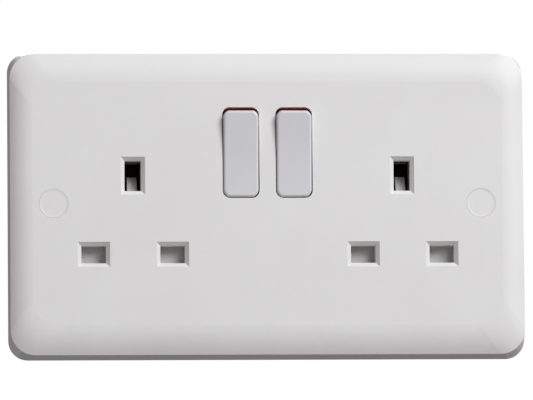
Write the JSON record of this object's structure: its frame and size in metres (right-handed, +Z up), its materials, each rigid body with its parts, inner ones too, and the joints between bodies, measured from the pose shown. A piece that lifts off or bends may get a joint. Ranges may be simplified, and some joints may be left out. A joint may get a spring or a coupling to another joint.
{
  "type": "twin switched socket outlet",
  "caption": "Wall plate with paired shuttered three-pin outlets, rocker switches, sprung shutters, see-saw switch contacts and screw terminals.",
  "frame": {"origin": "on the wall plane, midway between the two fixing holes", "axes": "+X to the right seen from the front, +Z up, +Y into the wall; the front faces -Y"},
  "size_m": [0.146, 0.0284, 0.087],
  "materials": {
    "plate_white": "satin white urea moulding",
    "rocker_white": "satin white moulding, a shade greyer than the plate",
    "shutter_white": "matt white nylon",
    "flag_red": "gloss red",
    "moulding_black": "matt black thermoset",
    "contact_brass": "dull rolled brass",
    "contact_silver": "silver alloy",
    "plunger_nylon": "natural nylon",
    "screw_steel": "bright zinc plate",
    "spring_steel": "drawn spring wire"
  },
  "bodies": {
    "root": {"front_plate": "plate_white", "contact_cover": "moulding_black", "back_moulding": "moulding_black", "case_screws": "screw_steel", "live_bar": "contact_brass", "neutral_bar": "contact_brass", "earth_bar": "contact_brass", "screw_cap_left": "plate_white", "fixed_tip_left": "contact_silver", "shutter_spring_left": "spring_steel", "live_strip_left": "contact_brass", "live_clip_left": "contact_brass", "neutral_clip_left": "contact_brass", "earth_clip_left": "contact_brass", "screw_cap_right": "plate_white", "fixed_tip_right": "contact_silver", "shutter_spring_right": "spring_steel", "live_strip_right": "contact_brass", "live_clip_right": "contact_brass", "neutral_clip_right": "contact_brass", "earth_clip_right": "contact_brass", "terminal_live": "contact_brass", "terminal_neutral": "contact_brass", "terminal_earth_left": "contact_brass", "terminal_earth_right": "contact_brass", "contact_rivets": "contact_brass"},
    "rocker_left": {"rocker_left": "rocker_white", "on_flag_left": "flag_red", "rocker_spring_left": "spring_steel"},
    "plunger_left": {"plunger_left": "plunger_nylon"},
    "see_saw_left": {"moving_contact_left": "contact_brass", "moving_tip_left": "contact_silver"},
    "shutter_left": {"shutter_left": "shutter_white"},
    "rocker_right": {"rocker_right": "rocker_white", "on_flag_right": "flag_red", "rocker_spring_right": "spring_steel"},
    "plunger_right": {"plunger_right": "plunger_nylon"},
    "see_saw_right": {"moving_contact_right": "contact_brass", "moving_tip_right": "contact_silver"},
    "shutter_right": {"shutter_right": "shutter_white"},
    "screw_live": {"terminal_screw_live": "screw_steel"},
    "screw_neutral": {"terminal_screw_neutral": "screw_steel"},
    "screw_earth_left": {"terminal_screw_earth_left": "screw_steel"},
    "screw_earth_right": {"terminal_screw_earth_right": "screw_steel"}
  },
  "joints": [
    {"name": "rocker_left_turn", "type": "hinge", "parent": "root", "child": "rocker_left", "pos_m": [-0.0075, -0.0055, 0.01434], "axis": [-1, 0, 0], "range_deg": [0, 11]},
    {"name": "plunger_left_slide", "type": "slide", "parent": "rocker_left", "child": "plunger_left", "axis": [0, -0.9954, -0.0958], "range_m": [0, 0.0004], "stiffness_N_per_m": 400, "springref_m": -0.003, "deforming": ["rocker_spring_left"]},
    {"name": "see_saw_left_tilt", "type": "hinge", "parent": "root", "child": "see_saw_left", "pos_m": [-0.0075, 0.00768, 0.01434], "axis": [1, 0, 0], "range_deg": [0, 18]},
    {"name": "shutter_left_slide", "type": "slide", "parent": "root", "child": "shutter_left", "axis": [0, 0, -1], "range_m": [0, 0.0055], "stiffness_N_per_m": 80, "springref_m": -0.004, "deforming": ["shutter_spring_left"]},
    {"name": "rocker_right_turn", "type": "hinge", "parent": "root", "child": "rocker_right", "pos_m": [0.0075, -0.0055, 0.01434], "axis": [-1, 0, 0], "range_deg": [0, 11]},
    {"name": "plunger_right_slide", "type": "slide", "parent": "rocker_right", "child": "plunger_right", "axis": [0, -0.9954, -0.0958], "range_m": [0, 0.0004], "stiffness_N_per_m": 400, "springref_m": -0.003, "deforming": ["rocker_spring_right"]},
    {"name": "see_saw_right_tilt", "type": "hinge", "parent": "root", "child": "see_saw_right", "pos_m": [0.0075, 0.00768, 0.01434], "axis": [1, 0, 0], "range_deg": [0, 18]},
    {"name": "shutter_right_slide", "type": "slide", "parent": "root", "child": "shutter_right", "axis": [0, 0, -1], "range_m": [0, 0.0055], "stiffness_N_per_m": 80, "springref_m": -0.004, "deforming": ["shutter_spring_right"]},
    {"name": "screw_live_drive", "type": "slide", "parent": "root", "child": "screw_live", "axis": [0, -1, 0], "range_m": [0, 0.0036]},
    {"name": "screw_neutral_drive", "type": "slide", "parent": "root", "child": "screw_neutral", "axis": [0, -1, 0], "range_m": [0, 0.0036]},
    {"name": "screw_earth_left_drive", "type": "slide", "parent": "root", "child": "screw_earth_left", "axis": [0, -1, 0], "range_m": [0, 0.0036]},
    {"name": "screw_earth_right_drive", "type": "slide", "parent": "root", "child": "screw_earth_right", "axis": [0, -1, 0], "range_m": [0, 0.0036]}
  ],
  "couplings": [
    {"joint": "see_saw_left_tilt", "follows": "rocker_left_turn", "ratio": 1.6363},
    {"joint": "see_saw_right_tilt", "follows": "rocker_right_turn", "ratio": 1.6363}
  ]
}
